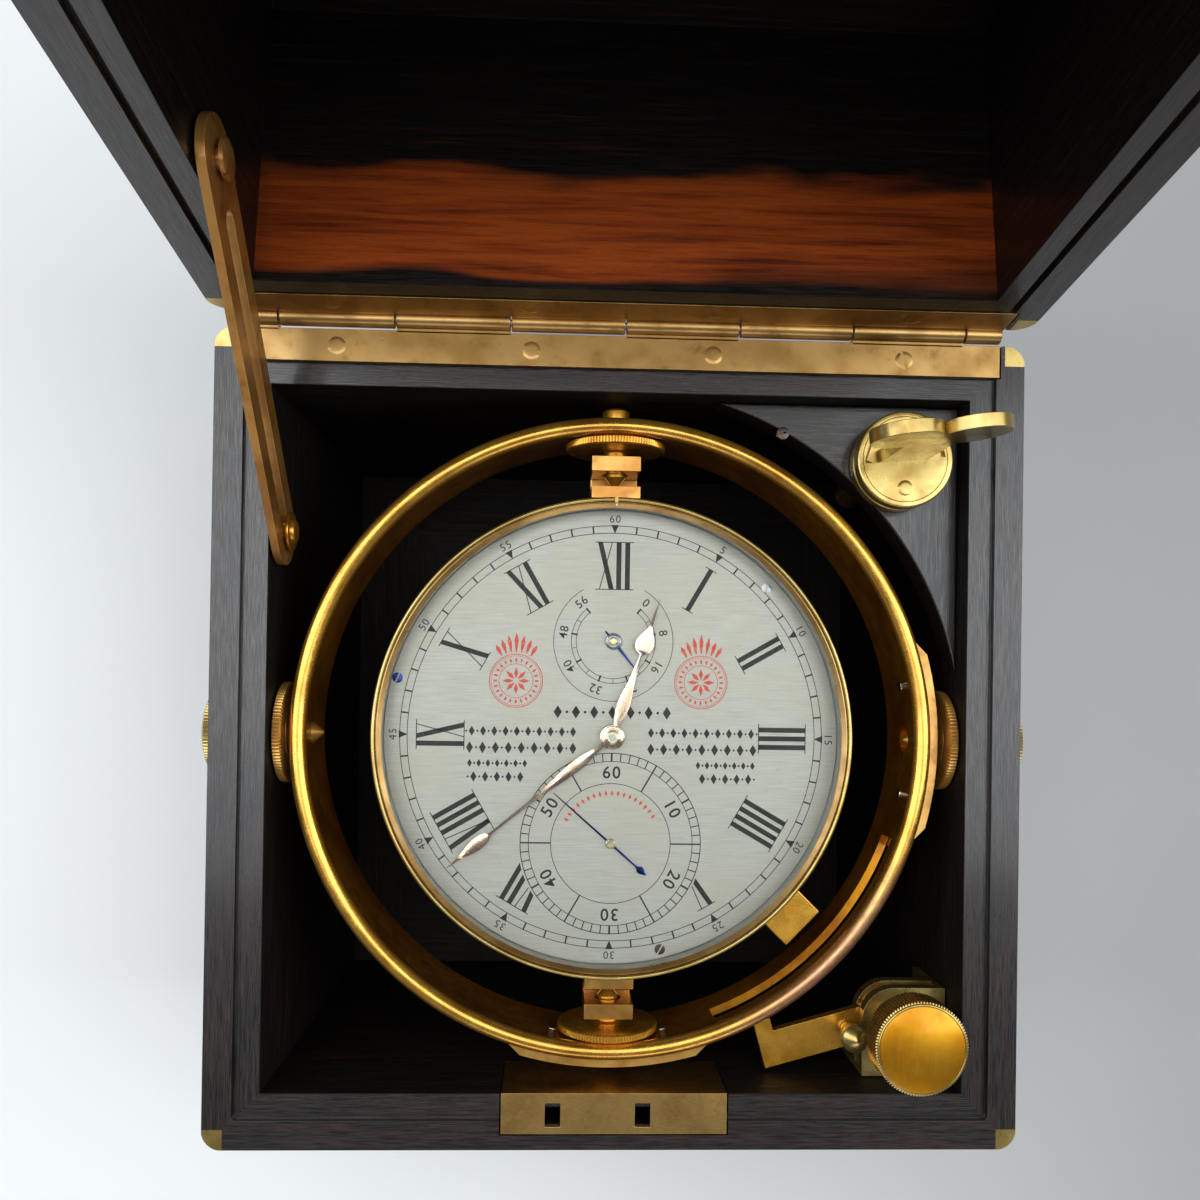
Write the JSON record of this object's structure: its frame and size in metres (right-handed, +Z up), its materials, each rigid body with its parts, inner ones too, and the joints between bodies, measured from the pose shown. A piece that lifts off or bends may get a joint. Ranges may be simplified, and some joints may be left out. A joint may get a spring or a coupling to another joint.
{
  "type": "marine chronometer",
  "caption": "Gimballed fusee deck watch in a hinged square ebony box, with lid stay, gimbal lock arm, rim lock and ratchet winding key.",
  "frame": {"origin": "middle of the box's underside, on the surface it stands on", "axes": "+Z up, +Y from the lock side towards the hinge, +X to the right seen from the lock side"},
  "size_m": [0.1868, 0.2813, 0.2961],
  "materials": {
    "ebony": "polished dark streaked ebony",
    "brass": "lacquered brass, lightly worn",
    "gilt": "golden lacquered brass",
    "steel": "brushed",
    "blued_steel": "polished blued steel",
    "rose_gold": "polished rose gold",
    "silvered_dial": "silvered, fine circular grain",
    "crystal": "clear flat glass"
  },
  "bodies": {
    "box": {"box_carcass": "ebony", "keyhole_escutcheon": "brass", "box_hinge_leaf": "brass", "hinge_pin": "steel", "lock_plate": "brass", "key_shelf": "ebony", "stay_stud": "brass", "left_box_pivot": "brass", "left_outer_nut": "brass", "right_box_pivot": "brass", "right_outer_nut": "brass", "lock_bracket": "brass"},
    "lid": {"lid_shell": "ebony", "lid_hinge_leaf": "brass", "lid_strike": "brass", "stay_pivot_screw": "brass"},
    "stay": {"lid_stay": "brass"},
    "bolt": {"lock_bolt": "steel"},
    "ring": {"gimbal_ring": "gilt", "right_ring_plate": "gilt", "front_ring_plate": "gilt", "rear_bowl_pivot": "brass", "front_bowl_pivot": "brass"},
    "bowl": {"bowl_shell": "gilt", "rear_trunnion": "gilt", "front_trunnion": "gilt", "bowl_catch": "gilt", "bezel": "brass", "crystal": "crystal", "dial": "silvered_dial", "pillar_plate": "gilt", "back_plate": "gilt", "fusee_chain": "steel", "detent": "steel", "balance_spring": "blued_steel", "balance_cock": "gilt"},
    "shutter": {"dust_shutter": "gilt"},
    "seconds_arbor": {"fourth_wheel": "gilt", "seconds_hand": "blued_steel"},
    "minute_arbor": {"centre_wheel": "gilt", "minute_hand": "rose_gold"},
    "hour_arbor": {"hour_hand": "rose_gold"},
    "third_arbor": {"third_wheel": "gilt"},
    "escape_arbor": {"escape_wheel": "gilt"},
    "great_arbor": {"great_wheel": "gilt"},
    "balance": {"balance_wheel": "gilt"},
    "fusee": {"fusee": "gilt"},
    "barrel": {"spring_barrel": "gilt"},
    "up_down_arbor": {"up_down_wheel": "gilt", "up_down_hand": "blued_steel"},
    "lock_arm": {"lock_arm": "gilt", "lock_arm_knob": "brass"},
    "thumbscrew": {"lock_thumbscrew": "gilt"},
    "key": {"key_pipe": "brass"},
    "key_grip": {"key_handle": "brass"}
  },
  "joints": [
    {"name": "lid_hinge", "type": "hinge", "parent": "box", "child": "lid", "pos_m": [0, 0.0923, 0.116], "axis": [1, 0, 0], "range_deg": [0, 98.8]},
    {"name": "stay_pivot", "type": "hinge", "parent": "lid", "child": "stay", "pos_m": [-0.076, 0.10501, 0.16094], "axis": [-1, 0, 0], "range_deg": [0, 49.4]},
    {"name": "lock_bolt_slide", "type": "slide", "parent": "box", "child": "bolt", "axis": [1, 0, 0], "range_m": [0, 0.0045]},
    {"name": "ring_gimbal", "type": "hinge", "parent": "box", "child": "ring", "pos_m": [-0.0012, 0.0006, 0.102], "axis": [1, 0, 0], "range_deg": [-25, 25]},
    {"name": "bowl_gimbal", "type": "hinge", "parent": "ring", "child": "bowl", "pos_m": [-0.0012, 0.0006, 0.102], "axis": [0, 1, 0], "range_deg": [-25, 25]},
    {"name": "shutter_pivot", "type": "hinge", "parent": "bowl", "child": "shutter", "pos_m": [-0.0012, 0.0006, 0.102], "axis": [0, 0, 1], "range_deg": [0, 60]},
    {"name": "seconds_spin", "type": "hinge", "parent": "bowl", "child": "seconds_arbor", "pos_m": [-0.0012, -0.024, 0.102], "axis": [0, 0, -1], "continuous": true},
    {"name": "minute_spin", "type": "hinge", "parent": "bowl", "child": "minute_arbor", "pos_m": [-0.0012, 0.0006, 0.102], "axis": [0, 0, -1], "continuous": true},
    {"name": "hour_spin", "type": "hinge", "parent": "bowl", "child": "hour_arbor", "pos_m": [-0.0012, 0.0006, 0.102], "axis": [0, 0, -1], "continuous": true},
    {"name": "third_spin", "type": "hinge", "parent": "bowl", "child": "third_arbor", "pos_m": [0.00605, -0.012, 0.102], "axis": [0, 0, -1], "continuous": true},
    {"name": "escape_spin", "type": "hinge", "parent": "bowl", "child": "escape_arbor", "pos_m": [-0.0119, -0.025, 0.102], "axis": [0, 0, -1], "continuous": true},
    {"name": "great_spin", "type": "hinge", "parent": "bowl", "child": "great_arbor", "pos_m": [-0.0182, 0.0146, 0.102], "axis": [0, 0, -1], "continuous": true},
    {"name": "balance_swing", "type": "hinge", "parent": "bowl", "child": "balance", "pos_m": [-0.0062, -0.0174, 0.102], "axis": [0, 0, 1], "range_deg": [-135, 135]},
    {"name": "fusee_wind", "type": "hinge", "parent": "bowl", "child": "fusee", "pos_m": [-0.0182, 0.0146, 0.102], "axis": [0, 0, 1], "range_deg": [-932, 1588]},
    {"name": "barrel_spin", "type": "hinge", "parent": "bowl", "child": "barrel", "pos_m": [0.0198, 0.0146, 0.102], "axis": [0, 0, 1], "range_deg": [-672, 1144]},
    {"name": "up_down_spin", "type": "hinge", "parent": "bowl", "child": "up_down_arbor", "pos_m": [-0.0012, 0.0226, 0.102], "axis": [0, 0, -1], "range_deg": [-111, 190]},
    {"name": "lock_arm_swing", "type": "hinge", "parent": "box", "child": "lock_arm", "pos_m": [0.06536, -0.06435, 0.102], "axis": [0, 0, -1], "range_deg": [0, 113]},
    {"name": "thumbscrew_turn", "type": "hinge", "parent": "box", "child": "thumbscrew", "pos_m": [0.06536, -0.06435, 0.102], "axis": [0, 0, -1], "range_deg": [0, 180]},
    {"name": "key_lift", "type": "slide", "parent": "box", "child": "key", "axis": [0, 0, -1], "range_m": [-0.045, 0]},
    {"name": "key_ratchet", "type": "hinge", "parent": "key", "child": "key_grip", "pos_m": [0.0628, 0.0639, 0.11], "axis": [0, 0, -1], "continuous": true}
  ],
  "couplings": [
    {"joint": "stay_pivot", "follows": "lid_hinge", "ratio": 0.5},
    {"joint": "minute_spin", "follows": "seconds_spin", "ratio": 0.016667},
    {"joint": "hour_spin", "follows": "seconds_spin", "ratio": 0.0013889},
    {"joint": "third_spin", "follows": "seconds_spin", "ratio": -0.125},
    {"joint": "escape_spin", "follows": "seconds_spin", "ratio": -8},
    {"joint": "great_spin", "follows": "seconds_spin", "ratio": -0.0020833},
    {"joint": "barrel_spin", "follows": "fusee_wind", "ratio": 0.72},
    {"joint": "up_down_spin", "follows": "fusee_wind", "ratio": 0.11905}
  ]
}
